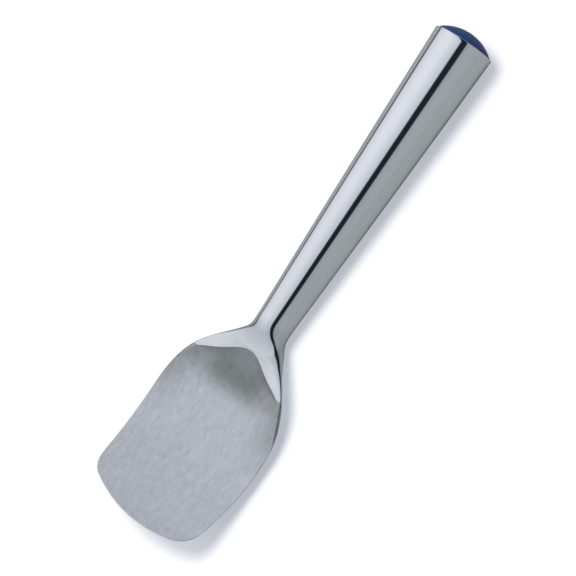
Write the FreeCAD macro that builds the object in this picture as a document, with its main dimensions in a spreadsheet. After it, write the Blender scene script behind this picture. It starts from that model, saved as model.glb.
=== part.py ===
import FreeCAD
import Part
import Sketcher
import math
import os
import re

# Ice cream spade: one aluminium casting (bowed blade, shoulders, neck, hollow tapered handle)
# and a blue moulded plug that closes the handle's end.
#
# Working frame: X runs from the middle of the blade's tip (0) along the handle's axis to the
# plug's dome, Z is the side that the blade's ground face looks to, Y is across the blade.
# At the end both pieces get one Placement, which lays the spade down on its back as it rests.

doc = FreeCAD.newDocument("ice_cream_spade")
sheet = doc.addObject("Spreadsheet::Sheet", "sizes")

SIZES = {
    # Blade, seen from above; the casting starts waste_length before the tip
    "waste_length": 4.0,
    "blade_half_width": 35.6,
    "widest_place": 51.0,
    "blade_side_radius": 360.0,
    "tip_corner_place": 14.2,
    "tip_corner_radius": 10.0,
    "tip_overlap": 0.05,
    # Shoulders, seen from above
    "shoulder_place": 55.0,
    "shoulder_radius": 48.0,
    "shoulder_angle": 41.5,
    "neck_fillet_radius": 9.0,
    # Blade, seen from the side
    "bow_radius": 95.0,
    "edge_low_height": -1.0,
    "ground_low_height": -0.8,
    "wheel_place": 68.0,
    "wheel_end_place": 95.0,
    "wheel_radius": 60.0,
    "blade_thickness": 3.0,
    "tip_thickness": 1.5,
    "grinding_allowance": 2.1,
    # Dishing of the ground face, as its rise where the wheel's side passes the blade's
    "wheel_overhang": 2.4,
    "front_dish": 0.8,
    "side_dish": 7.5,
    "side_dish_start": 60.0,
    "side_dish_end": 82.0,
    "bowl_dish": 16.0,
    "bowl_dish_start": 80.0,
    "bowl_dish_end": 92.0,
    # Edge, crest and belly of the thick rear part
    "edge_fall_place": 74.0,
    "edge_end_place": 102.0,
    "crest_height": 4.3,
    "crest_place": 91.0,
    "belly_start": 56.0,
    "belly_place": 90.0,
    "rounding_place": 88.0,
    "rounding_end_place": 103.5,
    # Handle
    "neck_place": 108.5,
    "neck_radius": 9.0,
    "neck_lap": 0.03,
    "flare_length": 10.0,
    "flare_radius": 9.23,
    "rim_place": 261.4,
    "rim_radius": 14.9,
    "rim_round": 0.4,
    # Blind bore from the handle's end
    "counterbore_radius": 14.0,
    "counterbore_depth": 2.4,
    "socket_radius": 11.4,
    "socket_depth": 14.0,
    "bore_end_radius": 7.0,
    "bore_end_place": 130.0,
    "bore_point_length": 4.0,
    # Plug
    "dome_height": 5.6,
    "plug_clearance": 0.1,
    "plug_edge_height": 0.5,
    "spigot_length": 12.0,
    "spigot_wall": 2.0,
    "spigot_clearance": 0.5,
    "rib_clearance": 0.05,
    "rib_width": 1.6,
    "first_rib_place": 2.5,
    "rib_spacing": 4.5,
}
for row, (alias, value) in enumerate(SIZES.items(), start=1):
    cell = "B%d" % row
    sheet.set("A%d" % row, alias)
    sheet.set(cell, str(value))
    sheet.setAlias(cell, alias)
doc.recompute()


def size(alias):
    return float(sheet.get(alias))


def ease(start, end, place):
    """0 up to start, 1 from end on, and a smooth S between them."""
    part = min(max((place - start) / (end - start), 0.0), 1.0)
    return part * part * (3.0 - 2.0 * part)


def plane_of(body, role):
    return next(item for item in body.Origin.OriginFeatures if item.Role == role)


def new_sketch(body, name, role):
    sketch = body.newObject("Sketcher::SketchObject", name)
    sketch.AttachmentSupport = [(plane_of(body, role), "")]
    sketch.MapMode = "FlatFace"
    return sketch


def draw_outline(sketch, corners):
    """Close a loop of lines and arcs through corners whose places are bound to the sheet.

    A corner is (x, y) or, where an arc runs on to the next corner, (x, y, radius), all as
    expressions. The arc bulges to the right of its run, or to the left if the radius starts
    with a minus.
    """
    values = [[sheet.evalExpression(text) for text in corner] for corner in corners]
    points = [FreeCAD.Vector(value[0], value[1], 0) for value in values]
    edges = []
    for index, value in enumerate(values):
        start = points[index]
        end = points[(index + 1) % len(points)]
        if len(value) == 2:
            edges.append(sketch.addGeometry(Part.LineSegment(start, end)))
            continue
        half = (end - start) * 0.5
        rise = abs(value[2]) - math.sqrt(value[2] ** 2 - half.Length ** 2)
        side = FreeCAD.Vector(half.y, -half.x, 0).normalize() * math.copysign(rise, value[2])
        edges.append(sketch.addGeometry(Part.Arc(start, start + half + side, end)))
    for index, corner in enumerate(corners):
        edge = edges[index]
        before = edges[index - 1]
        end = nearest_end(sketch, edge, points[index])
        end_before = nearest_end(sketch, before, points[index])
        sketch.addConstraint(Sketcher.Constraint("Coincident", before, end_before, edge, end))
        bind(sketch, Sketcher.Constraint("DistanceX", -1, 1, edge, end, values[index][0]), corner[0])
        if corner[1] == "0":
            sketch.addConstraint(Sketcher.Constraint("PointOnObject", edge, end, -1))
        else:
            bind(sketch, Sketcher.Constraint("DistanceY", -1, 1, edge, end, values[index][1]), corner[1])
        if len(corner) == 3:
            bind(sketch, Sketcher.Constraint("Radius", edge, abs(values[index][2])), corner[2].lstrip("-"))


def nearest_end(sketch, edge, point):
    return min((1, 2), key=lambda end: (sketch.getPoint(edge, end) - point).Length)


def on_sheet(expression):
    """The expression with each alias named as a cell of the sheet."""
    return re.sub(r"[a-z_]+", lambda word: "sizes." * (word[0] in SIZES) + word[0], expression)


def bind(sketch, constraint, expression):
    number = sketch.addConstraint(constraint)
    sketch.setExpression("Constraints[%d]" % number, on_sheet(expression))


# The forms of the casting, each a height or a width at a place along the axis.


def arc_rise(radius, along):
    """The rise of an arc at a distance along from its lowest point."""
    return radius - math.sqrt(radius ** 2 - along ** 2)


def half_width(place):
    """The outline from above: long side arc, shoulder arc, straight slope, neck fillet, neck."""
    tilt = math.radians(size("shoulder_angle"))
    shoulder = size("shoulder_radius")
    fillet = size("neck_fillet_radius")
    along = min(place, size("shoulder_place")) - size("widest_place")
    side_width = size("blade_half_width") - arc_rise(size("blade_side_radius"), along)
    slope_start = size("shoulder_place") + shoulder * math.sin(tilt)
    slope_width = side_width - shoulder * (1 - math.cos(tilt))
    fillet_width = size("neck_radius") + fillet * (1 - math.cos(tilt))
    slope_end = slope_start + (slope_width - fillet_width) / math.tan(tilt)
    neck_start = slope_end + fillet * math.sin(tilt)
    if place <= size("shoulder_place"):
        return side_width
    if place <= slope_start:
        return side_width - arc_rise(shoulder, place - size("shoulder_place"))
    if place <= slope_end:
        return slope_width - (place - slope_start) * math.tan(tilt)
    if place <= neck_start:
        return size("neck_radius") + arc_rise(fillet, neck_start - place)
    return size("neck_radius")


def edge_height(place):
    """The blade's edge bows up both ways from its low point, then comes back to the axis."""
    if place >= size("edge_end_place"):
        return 0.0
    bow = size("edge_low_height") + arc_rise(size("bow_radius"), place - size("widest_place"))
    return bow * (1 - ease(size("edge_fall_place"), size("edge_end_place"), place))


def ground_height(place):
    """The ground face's middle line: bowed to the tip, level, then up the grinding wheel's arc."""
    front = arc_rise(size("bow_radius"), min(place - size("widest_place"), 0))
    rear = arc_rise(size("wheel_radius"), max(place - size("wheel_place"), 0))
    return size("ground_low_height") + front + rear


def dish_rise(place):
    """How far the ground face rises from its middle line to the wheel's side."""
    side = size("side_dish") * ease(size("side_dish_start"), size("side_dish_end"), place)
    bowl = size("bowl_dish") * ease(size("bowl_dish_start"), size("bowl_dish_end"), place)
    return size("front_dish") + side + bowl


def crest_top(place):
    """The casting's top before it is ground: over the blade, level, then up to the neck's top."""
    over_blade = edge_height(place) + size("grinding_allowance")
    level = over_blade if place < size("edge_fall_place") else size("crest_height")
    low = min(over_blade, level)
    return low + (size("neck_radius") - low) * ease(size("crest_place"), size("neck_place"), place)


def belly_bottom(place):
    """The underside's middle line: thin blade in front, as deep as the neck behind."""
    forward = max(size("widest_place") - place, 0) / size("widest_place")
    thick = size("blade_thickness") + (size("tip_thickness") - size("blade_thickness")) * forward
    deep = ease(size("belly_start"), size("belly_place"), place)
    return (ground_height(place) - thick) * (1 - deep) - size("neck_radius") * deep


# Each section of the casting is a closed spline on twelve control points. These are one side's
# seven, from the top round the edge to the bottom, as shares of half width and of height.
ROUND = [(math.sin(math.radians(step * 30)), math.cos(math.radians(step * 30))) for step in range(7)]
PLATE = [(0.0, 1.0), (0.5, 1.0), (0.93, 0.85), (1.0, 0.0), (0.93, -0.2), (0.5, -0.96), (0.0, -1.0)]


def casting_section(place):
    """The control points of the solid casting's section at a place along the axis."""
    turn = ease(size("rounding_place"), size("rounding_end_place"), place)
    shares = [
        (plate[0] + (round_[0] - plate[0]) * turn, plate[1] + (round_[1] - plate[1]) * turn)
        for plate, round_ in zip(PLATE, ROUND)
    ]
    # A cubic spline passes inside its control points: these factors bring it out to its size.
    width = half_width(place) * 6 / (shares[2][0] + 4 * shares[3][0] + shares[4][0])
    middle = edge_height(place)
    up = (crest_top(place) - middle) * 6 / (2 * shares[1][1] + 4)
    down = (middle - belly_bottom(place)) * 6 / (4 - 2 * shares[5][1])
    side = [(width * y, middle + (up if z > 0 else down) * z) for y, z in shares]
    return [(-y, z) for y, z in side] + side[-2:0:-1]


WHEEL_HALF_WIDTH = size("blade_half_width") + size("wheel_overhang")


def ground_section(place):
    """The control points of the grinding wheel's hollow at a place: one parabola across."""
    low = ground_height(place)
    rise = dish_rise(place)
    return [(-WHEEL_HALF_WIDTH, low + rise), (0.0, low - rise), (WHEEL_HALF_WIDTH, low + rise)]


def skin_through(places, section_at, closed):
    """A smooth surface along the axis: a rail runs through each control point of the sections.

    A closed section is a periodic cubic spline, an open one is a single parabola.
    """
    rails = []
    for points in zip(*[section_at(place) for place in places]):
        rail = Part.BSplineCurve()
        passed = [FreeCAD.Vector(place, *point) for place, point in zip(places, points)]
        rail.interpolate(Points=passed, Parameters=places)
        rails.append(rail)
    knots = list(range(len(rails) + 1)) if closed else [0, 1]
    counts = [1] * len(knots) if closed else [3, 3]
    skin = Part.BSplineSurface()
    skin.buildFromPolesMultsKnots(
        [rail.getPoles() for rail in rails],
        counts, rails[0].getMultiplicities(),
        knots, rails[0].getKnots(),
        closed, False, 3 if closed else 2, rails[0].Degree,
    )
    return skin.toShape()


def spaced(start, end, spacing):
    """Places from start to end, evenly spaced at about the spacing."""
    steps = max(round((end - start) / spacing), 1)
    return [start + (end - start) * step / steps for step in range(steps + 1)]


BLADE_SPACING = 4.0
REST_SPACING = 0.25

# The casting's front: a skin from beyond the tip, over the blade and the shoulders, to the neck.
casting_places = spaced(-size("waste_length"), size("neck_place"), BLADE_SPACING)
side_skin = skin_through(casting_places, casting_section, True)
end_faces = [Part.Face(Part.Wire([edge])) for edge in side_skin.Edges if edge.isClosed()]
casting_shell = Part.Shell([side_skin] + end_faces)
casting_shell.sewShape()
casting = doc.addObject("Part::Feature", "casting")
casting.Shape = Part.Solid(casting_shell)

# Its upper face is ground hollow by a crowned wheel, which leaves the polished crest behind it.
# The wheel starts further out than the casting does.
wheel_start = -3 * size("waste_length")
wheel_skin = skin_through(spaced(wheel_start, size("wheel_end_place"), BLADE_SPACING), ground_section, False)
grinding_wheel = doc.addObject("Part::Feature", "grinding_wheel")
grinding_wheel.Shape = wheel_skin.extrude(FreeCAD.Vector(0, 0, WHEEL_HALF_WIDTH))
ground_casting = doc.addObject("Part::Cut", "ground_casting")
ground_casting.Base = casting
ground_casting.Tool = grinding_wheel
doc.recompute()

spade_body = doc.addObject("PartDesign::Body", "spade_body")
spade_body.Label = "spade_body"
spade_body.BaseFeature = ground_casting
doc.recompute()

# The tip is cut to its curve: a long arc with a round corner that runs into each side.
SIDE_AT_CORNER = (
    "(blade_half_width - blade_side_radius"
    " + sqrt(blade_side_radius^2 - (widest_place - tip_corner_place)^2) + tip_overlap)"
)
CORNER_CENTRE = "(%s - tip_corner_radius)" % SIDE_AT_CORNER
TIP_ARC = (
    "((tip_corner_place^2 + %s^2 - tip_corner_radius^2)"
    " / (2 * (tip_corner_place - tip_corner_radius)))" % CORNER_CENTRE
)
ARC_END_WIDTH = "(%s * %s / (%s - tip_corner_radius))" % (TIP_ARC, CORNER_CENTRE, TIP_ARC)
ARC_END_PLACE = "(%s - %s * (%s - tip_corner_place) / (%s - tip_corner_radius))" % (
    TIP_ARC, TIP_ARC, TIP_ARC, TIP_ARC
)
WASTE_WIDTH = "(blade_half_width * 1.5)"
tip_sketch = new_sketch(spade_body, "tip_outline", "XY_Plane")
draw_outline(tip_sketch, [
    ("tip_corner_place", "-" + WASTE_WIDTH),
    ("-tip_corner_place", "-" + WASTE_WIDTH),
    ("-tip_corner_place", WASTE_WIDTH),
    ("tip_corner_place", WASTE_WIDTH),
    ("tip_corner_place", SIDE_AT_CORNER, "tip_corner_radius"),
    (ARC_END_PLACE, ARC_END_WIDTH, TIP_ARC),
    (ARC_END_PLACE, "-" + ARC_END_WIDTH, "tip_corner_radius"),
    ("tip_corner_place", "-" + SIDE_AT_CORNER),
])
doc.recompute()
tip_cut = spade_body.newObject("PartDesign::Pocket", "tip_cut")
tip_cut.Profile = tip_sketch
tip_cut.Type = "ThroughAll"
tip_cut.Midplane = True
doc.recompute()

# The handle turns about the axis: a flare that leaves the neck without a crease, a long taper
# and a rounded rim. Its start stands proud of the front's end by the neck's lap, so that the
# two are one casting.
FLARE_RISE = "(flare_radius - neck_radius - neck_lap)"
FLARE_ARC = "((flare_length^2 + %s^2) / (2 * %s))" % (FLARE_RISE, FLARE_RISE)
grip_sketch = new_sketch(spade_body, "grip_profile", "XZ_Plane")
draw_outline(grip_sketch, [
    ("rim_place", "0"),
    ("rim_place", "rim_radius - rim_round", "rim_round"),
    ("rim_place - rim_round", "rim_radius"),
    ("neck_place + flare_length", "flare_radius", "-" + FLARE_ARC),
    ("neck_place", "neck_radius + neck_lap"),
    ("neck_place", "0"),
])
doc.recompute()
grip = spade_body.newObject("PartDesign::Revolution", "grip")
grip.Profile = grip_sketch
grip.ReferenceAxis = (plane_of(spade_body, "X_Axis"), [""])
grip.Angle = 360
doc.recompute()

# Blind bore: a counterbore and a parallel socket for the plug, then a taper to a conical end.
bore_sketch = new_sketch(spade_body, "bore_profile", "XZ_Plane")
draw_outline(bore_sketch, [
    ("rim_place + counterbore_depth", "0"),
    ("rim_place + counterbore_depth", "counterbore_radius"),
    ("rim_place - counterbore_depth", "counterbore_radius"),
    ("rim_place - counterbore_depth", "socket_radius"),
    ("rim_place - counterbore_depth - socket_depth", "socket_radius"),
    ("bore_end_place", "bore_end_radius"),
    ("bore_end_place - bore_point_length", "0"),
])
doc.recompute()
bore = spade_body.newObject("PartDesign::Groove", "bore")
bore.Profile = bore_sketch
bore.ReferenceAxis = (plane_of(spade_body, "X_Axis"), [""])
bore.Angle = 360
doc.recompute()

# Plug: a domed head that seats on the counterbore's step, and a hollow ribbed spigot.
end_plug = doc.addObject("PartDesign::Body", "end_plug")
end_plug.Label = "end_plug"
RIB_COUNT = 2
HEAD_RADIUS = "(counterbore_radius - plug_clearance)"
DOME_START = "(rim_place + plug_edge_height)"
DOME_RISE = "(dome_height - plug_edge_height)"
DOME_RADIUS = "((%s^2 + %s^2) / (2 * %s))" % (HEAD_RADIUS, DOME_RISE, DOME_RISE)
SEAT = "(rim_place - counterbore_depth)"
SPIGOT_RADIUS = "(socket_radius - spigot_clearance)"
RIB_RADIUS = "(socket_radius - rib_clearance)"
HOLLOW_RADIUS = "(%s - spigot_wall)" % SPIGOT_RADIUS
plug_corners = [
    ("rim_place + dome_height", "0", DOME_RADIUS),
    (DOME_START, HEAD_RADIUS),
    (SEAT, HEAD_RADIUS),
    (SEAT, SPIGOT_RADIUS),
]
for rib in range(RIB_COUNT):
    rib_start = "(%s - first_rib_place - %d * rib_spacing)" % (SEAT, rib)
    plug_corners += [
        (rib_start, SPIGOT_RADIUS),
        (rib_start + " - rib_width / 2", RIB_RADIUS),
        (rib_start + " - rib_width", SPIGOT_RADIUS),
    ]
plug_corners += [
    (SEAT + " - spigot_length", SPIGOT_RADIUS),
    (SEAT + " - spigot_length", HOLLOW_RADIUS),
    (SEAT, HOLLOW_RADIUS),
    (SEAT, "0"),
]
plug_sketch = new_sketch(end_plug, "plug_profile", "XZ_Plane")
draw_outline(plug_sketch, plug_corners)
doc.recompute()
plug = end_plug.newObject("PartDesign::Revolution", "plug")
plug.Profile = plug_sketch
plug.ReferenceAxis = (plane_of(end_plug, "X_Axis"), [""])
plug.Angle = 360
doc.recompute()

# Each cut has to take metal away.
for before, after in ((casting, ground_casting), (ground_casting, tip_cut), (grip, bore)):
    if not 0 < after.Shape.Volume < before.Shape.Volume:
        raise RuntimeError("%s takes nothing away" % after.Name)

# The spade rests on its belly and on the rim's lowest point: the line through both lies level.
# Both pieces get the same Placement, with the origin under the middle of the whole.
REST_SLOPE = min(
    (belly_bottom(place) + size("rim_radius")) / (size("rim_place") - place)
    for place in spaced(0, size("neck_place"), REST_SPACING)
)
pieces = [spade_body, end_plug]
rest = FreeCAD.Placement()
rest.Rotation = FreeCAD.Rotation(FreeCAD.Vector(0, -1, 0), math.degrees(math.atan(REST_SLOPE)))
for piece in pieces:
    piece.Placement = rest
doc.recompute()
whole = Part.Compound([piece.Shape for piece in pieces]).optimalBoundingBox(False)
rest.Base = FreeCAD.Vector(-whole.Center.x, -whole.Center.y, -whole.ZMin)
for piece in pieces:
    piece.Placement = rest
doc.recompute()

for item in doc.Objects:
    if "Invalid" in item.State or "Error" in item.State:
        raise RuntimeError("%s failed: %s" % (item.Name, item.State))
for piece in pieces:
    if piece.Shape.isNull() or not piece.Shape.isValid() or len(piece.Shape.Solids) != 1:
        raise RuntimeError("%s is not one valid solid" % piece.Label)

os.makedirs("parts", exist_ok=True)
for piece in pieces:
    piece.Shape.exportStep("parts/%s.step" % piece.Label)
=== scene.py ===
import functools
import math

import bmesh
import bpy
from mathutils import Matrix, Vector


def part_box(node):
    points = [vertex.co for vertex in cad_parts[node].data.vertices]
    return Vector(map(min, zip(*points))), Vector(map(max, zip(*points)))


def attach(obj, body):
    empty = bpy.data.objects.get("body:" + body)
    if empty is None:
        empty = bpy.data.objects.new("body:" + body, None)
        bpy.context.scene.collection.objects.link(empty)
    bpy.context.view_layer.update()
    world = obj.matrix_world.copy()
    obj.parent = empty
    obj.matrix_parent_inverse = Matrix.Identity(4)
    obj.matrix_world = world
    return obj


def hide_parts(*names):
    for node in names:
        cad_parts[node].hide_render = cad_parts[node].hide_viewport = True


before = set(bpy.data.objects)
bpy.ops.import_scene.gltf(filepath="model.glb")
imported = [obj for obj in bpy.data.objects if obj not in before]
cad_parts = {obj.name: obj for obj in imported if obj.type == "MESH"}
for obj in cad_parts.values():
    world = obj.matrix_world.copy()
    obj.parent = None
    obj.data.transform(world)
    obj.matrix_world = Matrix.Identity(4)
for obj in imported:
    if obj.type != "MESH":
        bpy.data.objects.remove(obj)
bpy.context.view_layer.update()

# The spade's body is one polished aluminium casting: a thin bowed blade, round shoulders, a neck
# and a handle. Its front is one skin through sections that turn from flat to round, drawn in
# millimetres along the spade's own axis, from the middle of the blade's tip.
blade_half_width = 35.4
widest_place = 51.0
side_radius = 360.0
shoulder_place = 55.0
shoulder_radius = 48.0
shoulder_angle = math.radians(41.5)
neck_fillet_radius = 9.0
neck_radius = 9.0
neck_place = 108.5
bow_radius = 95.0
edge_low_height = -0.6
edge_fall_place = 74.0
edge_end_place = 102.0
grinding_allowance = 2.1
crest_height = 4.3
crest_place = 91.0
blade_thickness = 3.0
tip_thickness = 1.5
belly_start = 56.0
belly_place = 90.0
rounding_place = 88.0
rounding_end_place = 103.5


def ease(start, end, place):
    """0 up to start, 1 from end on, and a smooth S between them."""
    part = min(max((place - start) / (end - start), 0.0), 1.0)
    return part * part * (3.0 - 2.0 * part)


def arc_rise(radius, along):
    """The rise of an arc at a distance along from its lowest point."""
    return radius - math.sqrt(radius ** 2 - along ** 2)


def half_width(place):
    """The outline from above: long side arc, shoulder arc, straight slope, neck fillet, neck."""
    along = min(place, shoulder_place) - widest_place
    side_width = blade_half_width - arc_rise(side_radius, along)
    slope_start = shoulder_place + shoulder_radius * math.sin(shoulder_angle)
    slope_width = side_width - shoulder_radius * (1 - math.cos(shoulder_angle))
    fillet_width = neck_radius + neck_fillet_radius * (1 - math.cos(shoulder_angle))
    slope_end = slope_start + (slope_width - fillet_width) / math.tan(shoulder_angle)
    neck_start = slope_end + neck_fillet_radius * math.sin(shoulder_angle)
    if place <= shoulder_place:
        return side_width
    if place <= slope_start:
        return side_width - arc_rise(shoulder_radius, place - shoulder_place)
    if place <= slope_end:
        return slope_width - (place - slope_start) * math.tan(shoulder_angle)
    if place <= neck_start:
        return neck_radius + arc_rise(neck_fillet_radius, neck_start - place)
    return neck_radius


def edge_height(place):
    """The blade's edge bows up both ways from its low point, then comes back to the axis."""
    if place >= edge_end_place:
        return 0.0
    bow = edge_low_height + arc_rise(bow_radius, place - widest_place)
    return bow * (1 - ease(edge_fall_place, edge_end_place, place))


# The upper face is ground hollow by a crowned wheel, which leaves it bowed up to the tip. Behind,
# the wheel climbs out of the metal, first at the sides of the blade and then in its middle.
ground_low_height = -0.8
wheel_half_width = blade_half_width + 2.4
wheel_place = 68.0
wheel_end_place = 95.0
wheel_radius = 60.0
hollow_rise = 0.8
side_rise = 7.5
side_rise_start = 56.5
side_rise_end = 84.0
rear_rise = 16.0
rear_rise_start = 80.0
rear_rise_end = 92.0


def ground_height(place):
    """The ground face's middle line: bowed to the tip, level, then up the wheel's arc."""
    front = arc_rise(bow_radius, min(place - widest_place, 0))
    rear = arc_rise(wheel_radius, max(place - wheel_place, 0))
    return ground_low_height + front + rear


def ground_surface(place, across):
    """The ground face's height, with the hollow that deepens towards the shoulders."""
    side = side_rise * ease(side_rise_start, side_rise_end, place)
    rear = rear_rise * ease(rear_rise_start, rear_rise_end, place)
    return ground_height(place) + (hollow_rise + side + rear) * (across / wheel_half_width) ** 2


def crest_top(place):
    """The casting's top before it is ground: over the blade, level, then up to the neck's top."""
    over_blade = edge_height(place) + grinding_allowance
    level = over_blade if place < edge_fall_place else crest_height
    low = min(over_blade, level)
    return low + (neck_radius - low) * ease(crest_place, neck_place, place)


def belly_bottom(place):
    """The underside's middle line: thin blade in front, as deep as the neck behind."""
    forward = max(widest_place - place, 0) / widest_place
    thick = blade_thickness + (tip_thickness - blade_thickness) * forward
    deep = ease(belly_start, belly_place, place)
    return (ground_height(place) - thick) * (1 - deep) - neck_radius * deep


# A section is a closed smooth curve with twelve control points. Half of them are given here, from
# the top round one side to the bottom, as shares of the section's half width and height.
pole_count = 12
pole_angle = math.tau / pole_count
flat_shares = [(0, 1), (0.5, 1), (0.93, 0.85), (1, 0), (0.93, -0.2), (0.5, -0.96), (0, -1)]
round_angles = [pole_angle * step for step in range(len(flat_shares))]
round_shares = [(math.sin(angle), math.cos(angle)) for angle in round_angles]


@functools.lru_cache(maxsize=None)
def section_poles(place):
    """The section's control points, from the top round the far edge and back."""
    turn = ease(rounding_place, rounding_end_place, place)
    shares = [
        (flat[0] + (full[0] - flat[0]) * turn, flat[1] + (full[1] - flat[1]) * turn)
        for flat, full in zip(flat_shares, round_shares)
    ]
    width = half_width(place) * 6 / (shares[2][0] + 4 * shares[3][0] + shares[4][0])
    middle = edge_height(place)
    up = (crest_top(place) - middle) * 6 / (2 * shares[1][1] + 4)
    down = (middle - belly_bottom(place)) * 6 / (4 - 2 * shares[5][1])
    side = [(width * y, middle + (up if z > 0 else down) * z) for y, z in shares]
    return [(-y, z) for y, z in side] + side[-2:0:-1]


def section_point(place, around):
    """A point of the skin: around counts control points from the top back to the top."""
    first = math.floor(around)
    part = around - first
    weights = (
        (1 - part) ** 3,
        3 * part ** 3 - 6 * part ** 2 + 4,
        -3 * part ** 3 + 3 * part ** 2 + 3 * part + 1,
        part ** 3,
    )
    near = [section_poles(place)[(first + step) % pole_count] for step in (-1, 0, 1, 2)]
    y = sum(weight * pole[0] for weight, pole in zip(weights, near)) / 6
    z = sum(weight * pole[1] for weight, pole in zip(weights, near)) / 6
    return Vector((place, y, z))


# The tip's outline is one long arc with a round corner at each side. It is ground a little askew:
# it lies farther back towards +Y, and the corner on the side of -Y stays as it was.
corner_place = 14.2
corner_radius = 10.0
corner_overlap = 0.05
corner_centre = half_width(corner_place) + corner_overlap - corner_radius
tip_radius = corner_place ** 2 + corner_centre ** 2 - corner_radius ** 2
tip_radius /= 2 * (corner_place - corner_radius)
arc_end = tip_radius * corner_centre / (tip_radius - corner_radius)
askew_middle = 0.7
askew_slope = 0.06
askew_start = -34.0
askew_full = -22.0
askew_limit = 3.0


def tip_outline(across):
    """How far the tip's edge lies behind its foremost point."""
    askew = (askew_middle + askew_slope * across) * ease(askew_start, askew_full, across)
    if abs(across) <= arc_end:
        return arc_rise(tip_radius, across) + askew
    beyond = abs(across) - corner_centre
    return corner_place - math.sqrt(max(corner_radius ** 2 - beyond ** 2, 0)) + askew


@functools.lru_cache(maxsize=None)
def tip_place(around):
    """Where the skin's line at around meets the tip's outline."""
    low, high = 0.0, corner_place + askew_limit
    for halving in range(30):
        middle = (low + high) / 2
        if middle < tip_outline(section_point(middle, around).y):
            low = middle
        else:
            high = middle
    return high


# The skin is grown ring by ring from the tip to the neck. The first rings are close together, for
# the tip's rounded edge, and those within the tip's run follow its outline.
ring_points = 144
ring_start = 1.5
ring_step = 0.8
ring_count = math.ceil((neck_place - ring_start) / ring_step)
tip_run = 30.0
blade_places = [0.0, 0.12, 0.35, 0.7]
blade_places += [ring_start + ring_step * step for step in range(ring_count)]
blade_places.append(neck_place)


def grow_ring(mesh, edges):
    """A new ring, joined by faces to the ring of these edges: its vertices and its edges."""
    grown = bmesh.ops.extrude_edge_only(mesh, edges=edges)["geom"]
    new_verts = [part for part in grown if isinstance(part, bmesh.types.BMVert)]
    new_edges = [part for part in grown if isinstance(part, bmesh.types.BMEdge)]
    members = set(new_verts)
    return new_verts, [edge for edge in new_edges if members.issuperset(edge.verts)]


spade = bmesh.new()
around_layer = spade.verts.layers.float.new("around")
# This vertex layer holds each point's share of painted shade, which is set further on.
painted_shade_layer = spade.verts.layers.float.new("climb")
ground_layer = spade.faces.layers.float.new("ground")
bmesh.ops.create_circle(spade, segments=ring_points, radius=1.0)
for vert in spade.verts:
    index = round(math.atan2(vert.co.x, vert.co.y) / math.tau * ring_points) % ring_points
    vert[around_layer] = index * pole_count / ring_points
ring, ring_edges = spade.verts[:], spade.edges[:]
rings = []
for ring_place in blade_places:
    if rings:
        ring, ring_edges = grow_ring(spade, ring_edges)
    for vert in ring:
        around = vert[around_layer]
        place = ring_place
        if place < tip_run:
            place += tip_place(around) * (1 - place / tip_run)
        vert.co = section_point(place, around)
    rings.append(sorted(ring, key=lambda vert: vert[around_layer]))

# The handle is hollow, and cast in one with the neck. It is turned round the axis: a flare, a long
# taper that swells a little in the middle, a rounded rim, and inside it the counterbore, the
# plug's socket and the blind bore that narrows to a point.
flare_place = 120.0
flare_radius = 9.42
barrel_rise = 0.2
rim_place = 261.4
rim_radius = 14.9
rim_round = 0.4
rim_steps = 4
mouth_round = 0.1
seat_place = 259.0
counterbore_radius = 14.0
socket_radius = 11.4
socket_end = 245.0
bore_radius = 7.0
bore_end = 130.0
bore_point = 126.0


def grip_radius(place):
    """The handle's radius, from the neck to the rim."""
    length = rim_place - flare_place
    taper = (rim_radius - flare_radius) / length
    if place < flare_place:
        part = (place - neck_place) / (flare_place - neck_place)
        end_slope = (taper + 4 * barrel_rise / length) * (flare_place - neck_place)
        rise = (flare_radius - neck_radius) * part * part * (3 - 2 * part)
        return neck_radius + rise + end_slope * part * part * (part - 1)
    part = (place - flare_place) / length
    return flare_radius + taper * (place - flare_place) + 4 * barrel_rise * part * (1 - part)


grip_places = [neck_place + 2 * step for step in range(1, 7)]
grip_places += [123.0, 126.0, 130.0, *range(135, 261, 5)]
handle_profile = [(place, grip_radius(place)) for place in grip_places]
for step in range(rim_steps + 1):
    turn = math.pi / 2 * step / rim_steps
    handle_profile.append((
        rim_place - rim_round * (1 - math.sin(turn)),
        grip_radius(rim_place) - rim_round * (1 - math.cos(turn)),
    ))
handle_profile += [
    (rim_place, counterbore_radius + mouth_round),
    (rim_place - mouth_round, counterbore_radius),
    (seat_place, counterbore_radius),
    (seat_place, socket_radius),
    (socket_end, socket_radius),
    (bore_end, bore_radius),
    (bore_point, 0.0),
]
for place, radius in handle_profile:
    ring, ring_edges = grow_ring(spade, ring_edges)
    for vert in ring:
        angle = pole_angle * vert[around_layer]
        vert.co = (place, -radius * math.sin(angle), radius * math.cos(angle))
bmesh.ops.remove_doubles(spade, verts=ring, dist=0.001)

# The wheel cuts the skin along a line: the ground face starts there, and its edge stays crisp. The
# blade's thin edge is ground with it, down to the underside and back to the shoulders.
edge_band = 1.0
behind_wheel = -1.0
just_under = -0.01
ground_edge_end = 81.0
underside_reach = 1.9


def height_over_wheel(place, across, height):
    """How far a point stands over the ground face: below 0 behind the wheel and underneath."""
    if place >= wheel_end_place:
        return behind_wheel
    over = height - ground_surface(place, across)
    return over if height > edge_height(place) - edge_band else min(over, just_under)


above = {vert: height_over_wheel(*vert.co) for vert in spade.verts}
cut_verts = []
for edge in spade.edges[:]:
    first, second = edge.verts
    if above[first] * above[second] < 0:
        share = above[first] / (above[first] - above[second])
        cut_verts.append(bmesh.utils.edge_split(edge, first, share)[1])
bmesh.ops.connect_verts(spade, verts=cut_verts)
for face in spade.faces:
    upper = all(above.get(vert, 0.0) >= 0 for vert in face.verts)
    edgewise = all(
        vert.co.x < ground_edge_end and abs(vert[around_layer] - pole_count / 2) >= underside_reach
        for vert in face.verts
    )
    if upper or edgewise:
        face[ground_layer] = 1.0
for vert, over in above.items():
    if over > 0:
        vert.co.z -= over
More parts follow.
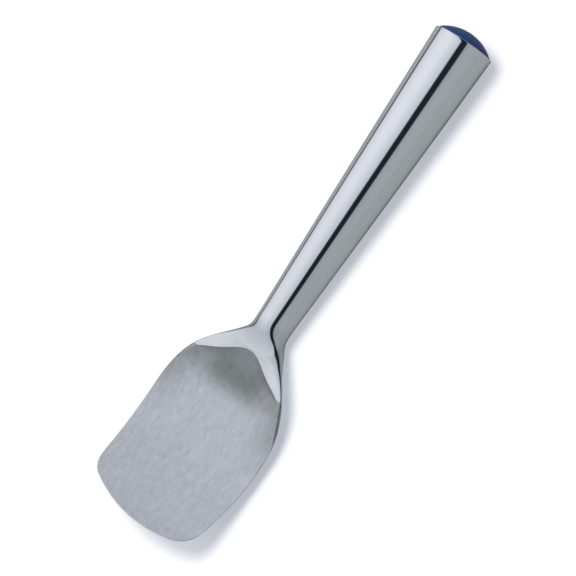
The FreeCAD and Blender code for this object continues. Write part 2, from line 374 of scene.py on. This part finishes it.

# Painted shade: where the wheel climbs, the metal's colour is darkened to stand for shade and dark
# reflections. It is darkest in the middle of the rear wall, less towards its top, and a little along both
# sides of the blade.
wall_foot = 65.0
wall_full = 78.0
wall_middle = 8.0
wall_sides = 20.0
wall_sides_share = 0.55
wall_top_start = 79.0
wall_top_end = 89.0
wall_top_loss = 0.22
side_share = 0.45
side_start = 40.0
side_full = 70.0
side_inner = 16.0
side_outer = 34.0
painted_shade_fade = 98.0
painted_shade_end = 112.0


def painted_shade_share(place, across):
    """How much painted shade a point gets on the rear wall and along the blade's sides, from 0 to 1."""
    middle = 1 - ease(wall_middle, wall_sides, across)
    wall = ease(wall_foot, wall_full, place) * (wall_sides_share + (1 - wall_sides_share) * middle)
    wall *= 1 - wall_top_loss * ease(wall_top_start, wall_top_end, place)
    side = side_share * ease(side_start, side_full, place) * ease(side_inner, side_outer, across)
    return max(wall, side) * (1 - ease(painted_shade_fade, painted_shade_end, place))


for vert in spade.verts:
    vert[painted_shade_layer] = painted_shade_share(vert.co.x, abs(vert.co.y))

# The tip's edge is rounded: its first rings are drawn together about the blade's middle. Narrow
# faces between the upper and the lower half of the first ring close it, and the small gaps that
# the wheel's cut leaves beside them are filled.
edge_keeps = (0.35, 0.72, 0.93)
quarter = ring_points // 4
half = ring_points // 2
for ring, keep in zip(rings, edge_keeps):
    for index in range(-quarter + 1, quarter):
        top = ring[index % ring_points]
        under = ring[(half - index) % ring_points]
        middle = (top.co.z + under.co.z) / 2
        top.co.z = middle + (top.co.z - middle) * keep
        under.co.z = middle + (under.co.z - middle) * keep
for index in range(-quarter, quarter):
    corners = []
    for step in (index, index + 1, half - index - 1, half - index):
        corner = rings[0][step % ring_points]
        if corner not in corners:
            corners.append(corner)
    spade.faces.new(corners)
bmesh.ops.holes_fill(spade, edges=[edge for edge in spade.edges if edge.is_boundary], sides=4)


def shade_smooth(mesh, crease):
    """Faces point outwards and are shaded smooth; an edge that turns as much as crease is crisp."""
    bmesh.ops.recalc_face_normals(mesh, faces=mesh.faces)
    for face in mesh.faces:
        face.smooth = True
    for edge in mesh.edges:
        sides = [face.normal for face in edge.link_faces]
        edge.smooth = len(sides) == 2 and sides[0].angle(sides[1], 0) < crease


shade_smooth(spade, math.radians(35))
for edge in spade.edges:
    if len({face[ground_layer] for face in edge.link_faces}) > 1:
        edge.smooth = False

# Laid down: the ground face looks up, and the line from the belly to the lowest point of the
# handle's rim lies level on the table. From here on the spade is in metres.
belly_steps = 4
belly_places = [step / belly_steps for step in range(int(neck_place * belly_steps))]
rest_slope = min((belly_bottom(place) + rim_radius) / (rim_place - place) for place in belly_places)
tilt = Matrix.Rotation(-math.atan(rest_slope), 4, "Y")
to_metres = Matrix.Scale(0.001, 4)
bmesh.ops.transform(spade, matrix=to_metres @ tilt, verts=spade.verts)
body_low, body_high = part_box("spade_body")
shift = Vector((
    body_high[0] - max(vert.co.x for vert in spade.verts),
    0.0,
    body_low[2] - min(vert.co.z for vert in spade.verts),
))
bmesh.ops.translate(spade, vec=shift, verts=spade.verts)
laid_down = Matrix.Translation(shift) @ to_metres @ tilt


def new_object(name, shape):
    """A finished shape as an object of the scene, with its place in its mesh."""
    mesh = bpy.data.meshes.new(name)
    shape.to_mesh(mesh)
    shape.free()
    made = bpy.data.objects.new(name, mesh)
    bpy.context.scene.collection.objects.link(made)
    return made


cast_spade = new_object("cast_spade", spade)
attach(cast_spade, "root")
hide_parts("spade_body")


# The body's finish: the metal is polished bright, and the ground face is left with the wheel's grain,
# with scratches, long strokes, blotches and small pits. Painted shade darkens both where the wheel
# climbs.
class Wire:
    """A node's output socket that is added, subtracted, multiplied and divided as a number is."""

    def __init__(self, tree, socket):
        self.tree = tree
        self.socket = socket

    def node(self, kind, settings, inputs, output=0):
        """A new node of a kind: its settings first, then its sockets, and a wire from its output."""
        made = self.tree.nodes.new(kind)
        for name, value in settings.items():
            if name == "stops":
                set_stops(made.color_ramp, value)
            else:
                setattr(made, name, value)
        for name, value in inputs.items():
            socket = made.inputs[name]
            if isinstance(value, Wire):
                self.tree.links.new(value.socket, socket)
            elif socket.type == "RGBA":
                socket.default_value = (*value, 1.0)
            else:
                socket.default_value = value
        return Wire(self.tree, made.outputs[output] if made.outputs else None)

    def other(self, output):
        """Another output of the node that this wire comes from."""
        return Wire(self.tree, self.socket.node.outputs[output])

    def math(self, operation, *values):
        """One Math node on wires and numbers."""
        return self.node("ShaderNodeMath", {"operation": operation}, dict(enumerate(values)))

    def mix(self, first, second):
        """A colour that runs from the first to the second as this wire goes from 0 to 1."""
        return self.node("ShaderNodeMix", {"data_type": "RGBA"}, {0: self, 6: first, 7: second}, 2)

    def share(self, first, last):
        """0 while this wire is up to first, 1 from last on, and a straight run between."""
        ends = {"Value": self, "From Min": first, "From Max": last}
        return self.node("ShaderNodeMapRange", {}, ends, "Result")

    def __add__(self, other):
        return self.math("ADD", self, other)

    def __sub__(self, other):
        return self.math("SUBTRACT", self, other)

    def __rsub__(self, other):
        return self.math("SUBTRACT", other, self)

    def __mul__(self, other):
        return self.math("MULTIPLY", self, other)

    def __truediv__(self, other):
        return self.math("DIVIDE", self, other)

    def __rtruediv__(self, other):
        return self.math("DIVIDE", other, self)

    __radd__ = __add__
    __rmul__ = __mul__


def set_stops(ramp, stops):
    """The stops of a colour ramp, each with its place from 0 to 1 and its colour."""
    while len(ramp.elements) < len(stops):
        ramp.elements.new(1.0)
    for element, (place, color) in zip(ramp.elements, stops):
        element.position = place
        element.color = (*color, 1.0)


def new_finish(name):
    """An empty material, with a first wire to make its nodes from."""
    material = bpy.data.materials.new(name)
    material.use_nodes = True
    material.node_tree.nodes.clear()
    return material, Wire(material.node_tree, None)


def show(start, kind, inputs):
    """A shader of a kind, as the material's surface."""
    surface = start.node(kind, {}, inputs)
    start.node("ShaderNodeOutputMaterial", {}, {"Surface": surface})


def noise_along(start, scale, detail):
    """Noise in the spade's own frame, with a scale for each axis, in grains a metre."""
    along_axis = (0.0, math.atan(rest_slope), 0.0)
    place = start.node("ShaderNodeTexCoord", {}, {}, "Object")
    along = start.node("ShaderNodeMapping", {}, {"Vector": place, "Rotation": along_axis})
    spread = start.node("ShaderNodeMapping", {}, {"Vector": along, "Scale": scale})
    return start.node("ShaderNodeTexNoise", {}, {"Vector": spread, "Scale": 1.0, "Detail": detail}, "Fac")


def relief(start, height, depth):
    """The softened normal of a surface whose heights from 0 to 1 stand for a depth in metres."""
    bump = {"Height": height, "Strength": 0.3, "Distance": depth}
    return start.node("ShaderNodeBump", {}, bump, "Normal")


# The darker polish and the darkest ground colour are painted shade, mixed in where the wheel climbs.
bright_polish = (0.84, 0.855, 0.88)
buffed_polish = (0.89, 0.90, 0.92)
shaded_polish = (0.64, 0.66, 0.685)
ground_face = (0.625, 0.64, 0.67)
painted_wall_shade = (0.268, 0.284, 0.278)
pit_level = 0.68
pit_depth = 2.2
grain_depth = 0.0001

metal, start = new_finish("cast_aluminium")
ground = start.node("ShaderNodeAttribute", {"attribute_name": "ground"}, {}, "Fac")
# This attribute is each point's share of painted shade.
climb = start.node("ShaderNodeAttribute", {"attribute_name": "climb"}, {}, "Fac")
scratches = noise_along(start, (240.0, 2000.0, 900.0), 4.0)
strokes = noise_along(start, (22.0, 420.0, 160.0), 3.0)
blotches = noise_along(start, (240.0, 420.0, 420.0), 5.0)
waves = noise_along(start, (28.0, 45.0, 45.0), 2.0)
buffing = noise_along(start, (70.0, 900.0, 900.0), 3.0)
specks = noise_along(start, (520.0, 1300.0, 1300.0), 1.0)
pits = start.math("MAXIMUM", specks - pit_level, 0.0)
marks = (scratches - 0.5) * 0.5 + (strokes - 0.5) * 0.12 + (blotches - 0.5) * 0.36
wear = 1 + marks - pits * pit_depth
# Painted shade darkens the ground face and the polished metal where the wheel climbs. The ground face
# also keeps its marks and pits.
ground_color_with_painted_shade = climb.mix(ground_face, painted_wall_shade)
worn_and_painted_shade_color = start.node(
    "ShaderNodeVectorMath", {"operation": "SCALE"}, {"Vector": ground_color_with_painted_shade, "Scale": wear}, "Vector",
)
polished_color_with_painted_shade = climb.mix(buffing.mix(bright_polish, buffed_polish), shaded_polish)
polished_roughness = 0.035 + buffing * 0.04
ground_roughness = 0.27 + scratches * 0.12 + blotches * 0.06
ground_relief = scratches * 0.7 + strokes * 0.3 + blotches * 0.3
polished_relief = waves * 0.6 + buffing * 0.02
show(start, "ShaderNodeBsdfPrincipled", {
    "Base Color": ground.mix(polished_color_with_painted_shade, worn_and_painted_shade_color),
    "Metallic": 1.0,
    "Roughness": polished_roughness + (ground_roughness - polished_roughness) * ground,
    "Normal": relief(start, ground_relief * ground + polished_relief * (1 - ground), grain_depth),
})
cast_spade.data.materials.append(metal)

# The plug is a moulded blue plastic stopper, pushed into the handle's end. It has a domed head, a
# shoulder that seats in the counterbore, and a hollow spigot with two sealing ribs, and it is
# turned from its half section.
plug_end = 267.0
head_radius = 13.9
head_place = 261.3
head_round = 0.05
dome_foot_place = 261.7
dome_foot_radius = 13.87
dome_rise = 5.1
dome_radius = (head_radius ** 2 + dome_rise ** 2) / (2 * dome_rise)
dome_radii = (0.0, 2.0, 4.2, 6.4, 8.6, 10.6, 12.4, 13.35, 13.7)
dome_droop = 0.12
dome_droop_start = 12.0
spigot_radius = 10.9
spigot_end = 247.0
spigot_round = 0.2
hollow_radius = 8.9
rib_places = (255.7, 251.2)
rib_reach = 0.8
rib_rise = 0.45

plug_profile = []
for radius in dome_radii:
    droop = dome_droop * ease(dome_droop_start, head_radius, radius)
    plug_profile.append((plug_end - arc_rise(dome_radius, radius) - droop, radius))
plug_profile += [
    (dome_foot_place, dome_foot_radius),
    (head_place, head_radius),
    (seat_place + head_round, head_radius),
    (seat_place, head_radius - head_round),
    (seat_place, spigot_radius),
]
for place in rib_places:
    plug_profile += [
        (place + rib_reach, spigot_radius),
        (place, spigot_radius + rib_rise),
        (place - rib_reach, spigot_radius),
    ]
plug_profile += [
    (spigot_end + spigot_round, spigot_radius),
    (spigot_end, spigot_radius - spigot_round),
    (spigot_end, hollow_radius),
    (seat_place, hollow_radius),
    (seat_place, 0.0),
]

plug = bmesh.new()
profile_verts = [plug.verts.new((place, 0.0, radius)) for place, radius in plug_profile]
profile_edges = [plug.edges.new(pair) for pair in zip(profile_verts, profile_verts[1:])]
bmesh.ops.spin(
    plug, geom=profile_verts + profile_edges, cent=(0, 0, 0), axis=(1, 0, 0),
    angle=math.tau, steps=96, use_merge=True, use_duplicate=False,
)
bmesh.ops.remove_doubles(plug, verts=plug.verts, dist=0.0005)
shade_smooth(plug, math.radians(38))
bmesh.ops.transform(plug, matrix=laid_down, verts=plug.verts)
domed_plug = new_object("domed_plug", plug)
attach(domed_plug, "root")
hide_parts("end_plug")

deep_blue = (0.006, 0.038, 0.15)
pale_blue = (0.012, 0.06, 0.21)
pore_depth = 0.00003
plastic, start = new_finish("blue_plastic")
mottle = noise_along(start, (160.0, 160.0, 160.0), 3.0)
pores = noise_along(start, (2600.0, 2600.0, 2600.0), 2.0)
show(start, "ShaderNodeBsdfPrincipled", {
    "Base Color": mottle.mix(deep_blue, pale_blue),
    "Roughness": 0.34 + mottle * 0.12,
    "Specular IOR Level": 0.28,
    "Normal": relief(start, pores, pore_depth),
})
domed_plug.data.materials.append(plastic)

# The table is a flat white board that the spade lies on, and it takes the spade's soft shadow. It
# glows to look like white paper, more so farther away, and shows darker in the polished metal.
table_half_width = 6.0
glow_near = 0.3
glow_far = 1.6
near_glow = (0.374, 0.393, 0.442)
far_glow = (1.0, 1.0, 1.0)
near_mirrored = (0.07, 0.075, 0.075)
far_mirrored = (0.27, 0.29, 0.30)
seen_paper = (0.715, 0.69, 0.66)
mirrored_paper = (0.28, 0.29, 0.29)

board = bmesh.new()
bmesh.ops.create_grid(board, x_segments=1, y_segments=1, size=table_half_width)
table = new_object("table", board)

paper, start = new_finish("white_paper")
seen = start.node("ShaderNodeLightPath", {}, {}, "Is Camera Ray")
reflected = seen.other("Is Glossy Ray") + seen.other("Is Transmission Ray")
spot = start.node("ShaderNodeTexCoord", {}, {}, "Object")
distance = start.node("ShaderNodeVectorMath", {"operation": "LENGTH"}, {"Vector": spot}, "Value")
away = distance.share(glow_near, glow_far)
mirrored = reflected.mix((0.0, 0.0, 0.0), away.mix(near_mirrored, far_mirrored))
glow_color = seen.mix(mirrored, away.mix(near_glow, far_glow))
lit = start.node("ShaderNodeBsdfDiffuse", {}, {"Color": seen.mix(mirrored_paper, seen_paper)})
glow = start.node("ShaderNodeEmission", {}, {"Color": glow_color})
show(start, "ShaderNodeAddShader", {0: lit, 1: glow})
table.data.materials.append(paper)

# The light comes from a pale tent over the spade, open in a dark slot where the camera looks in,
# grey on the near side and dimmer towards both ends. Its stops are given by how far a direction
# leans to the near side, in degrees, and by how far it points to the handle's end.
slot_middle = 29.5
slot_widening = 0.8
slot_turn = 7.0
flare_start = 0.03
flare_full = 0.3
flare_low = -65.0
flare_high = -30.0

world = bpy.data.worlds.new("tent")
world.use_nodes = True
world.node_tree.nodes.clear()
start = Wire(world.node_tree, None)
toward = start.node("ShaderNodeTexCoord", {}, {}, "Generated")
east = start.node("ShaderNodeSeparateXYZ", {}, {"Vector": toward}, "X")
north = east.other("Y")
up = east.other("Z")
straight_lean = start.math("ARCTAN2", 0 - north, up) * (180 / math.pi)

# On the handle's half the slot is wider and lies nearer to straight up, but the tent's foot on
# the far side stays as it is.
flare = east.share(flare_start, flare_full) * straight_lean.share(flare_low, flare_high)
lean = slot_middle + (straight_lean - slot_middle) / (1 + flare * slot_widening) + flare * slot_turn


def shaded(value, stops):
    """A colour for each of the stops' values, and blends of them between."""
    first, last = stops[0][0], stops[-1][0]
    places = [((number - first) / (last - first), color) for number, color in stops]
    return value.node("ShaderNodeValToRGB", {"stops": places}, {"Fac": value.share(first, last)}, "Color")


tent = shaded(lean, [
    (-180.0, (0.30, 0.31, 0.33)), (-91.0, (0.02, 0.02, 0.03)), (-84.5, (0.03, 0.03, 0.04)),
    (-81.0, (0.68, 0.69, 0.74)), (-68.0, (0.80, 0.81, 0.86)), (-45.0, (0.88, 0.90, 0.95)),
    (-22.0, (0.88, 0.90, 0.94)), (-5.0, (0.78, 0.80, 0.845)), (13.0, (0.66, 0.69, 0.74)),
    (17.0, (0.54, 0.57, 0.61)), (20.0, (0.014, 0.021, 0.027)), (39.0, (0.014, 0.021, 0.027)),
    (43.0, (0.37, 0.40, 0.42)), (60.0, (0.415, 0.44, 0.46)), (88.0, (0.40, 0.43, 0.45)),
    (91.0, (0.40, 0.43, 0.45)), (180.0, (0.30, 0.31, 0.33)),
])
ends = shaded(east, [
    (-1.0, (0.40, 0.40, 0.42)), (-0.7, (0.76, 0.77, 0.78)), (-0.45, (0.82, 0.83, 0.84)),
    (-0.12, (0.86, 0.86, 0.86)), (-0.02, (0.93, 0.93, 0.93)), (0.15, (0.90, 0.90, 0.90)),
    (0.35, (0.93, 0.93, 0.94)), (0.65, (0.93, 0.94, 0.95)), (0.85, (0.62, 0.63, 0.65)),
    (1.0, (0.25, 0.26, 0.28)),
])
studio = start.node("ShaderNodeVectorMath", {"operation": "MULTIPLY"}, {0: tent, 1: ends}, "Vector")
seen = start.node("ShaderNodeLightPath", {}, {}, "Is Camera Ray")
sky = start.node("ShaderNodeBackground", {}, {"Color": seen.mix(studio, (1.0, 1.0, 1.0))})
start.node("ShaderNodeOutputWorld", {}, {"Surface": sky})
bpy.context.scene.world = world

# One soft lamp on the far side throws the shadow towards the camera. The metal doesn't mirror it.
lamp = bpy.data.lights.new("soft_lamp", "AREA")
lamp.shape = "DISK"
lamp.size = 0.6
lamp.energy = 9.5
soft_lamp = bpy.data.objects.new("soft_lamp", lamp)
soft_lamp.location = (0.12, 0.12, 1.2)
soft_lamp.visible_glossy = False
bpy.context.scene.collection.objects.link(soft_lamp)

# The camera looks across the spade from its near side, a long way off, and is turned so that
# the handle climbs to the upper right. Its span is how much it sees across, in millimetres.
handle_rise = math.radians(55.98)
camera_lean = math.radians(30.0)
camera_distance = 1260.0
camera_span = 260.9
sensor_width = 36.0
aim_place = 125.2
aim_rise = 4.08

aim = Vector((aim_place, 0.0, 0.0))
aim += aim_rise * Vector((0.0, math.cos(camera_lean), math.sin(camera_lean)))
turned = Matrix.Rotation(camera_lean, 4, "X") @ Matrix.Rotation(-handle_rise, 4, "Z")
stand = laid_down @ (aim + turned.to_3x3() @ Vector((0.0, 0.0, camera_distance)))
lens = bpy.data.cameras.new("camera")
lens.sensor_width = sensor_width
lens.lens = sensor_width * camera_distance / camera_span
camera = bpy.data.objects.new("camera", lens)
camera.matrix_world = Matrix.Translation(stand) @ tilt @ turned
bpy.context.scene.collection.objects.link(camera)
bpy.context.scene.camera = camera
bpy.context.scene.view_settings.view_transform = "Standard"
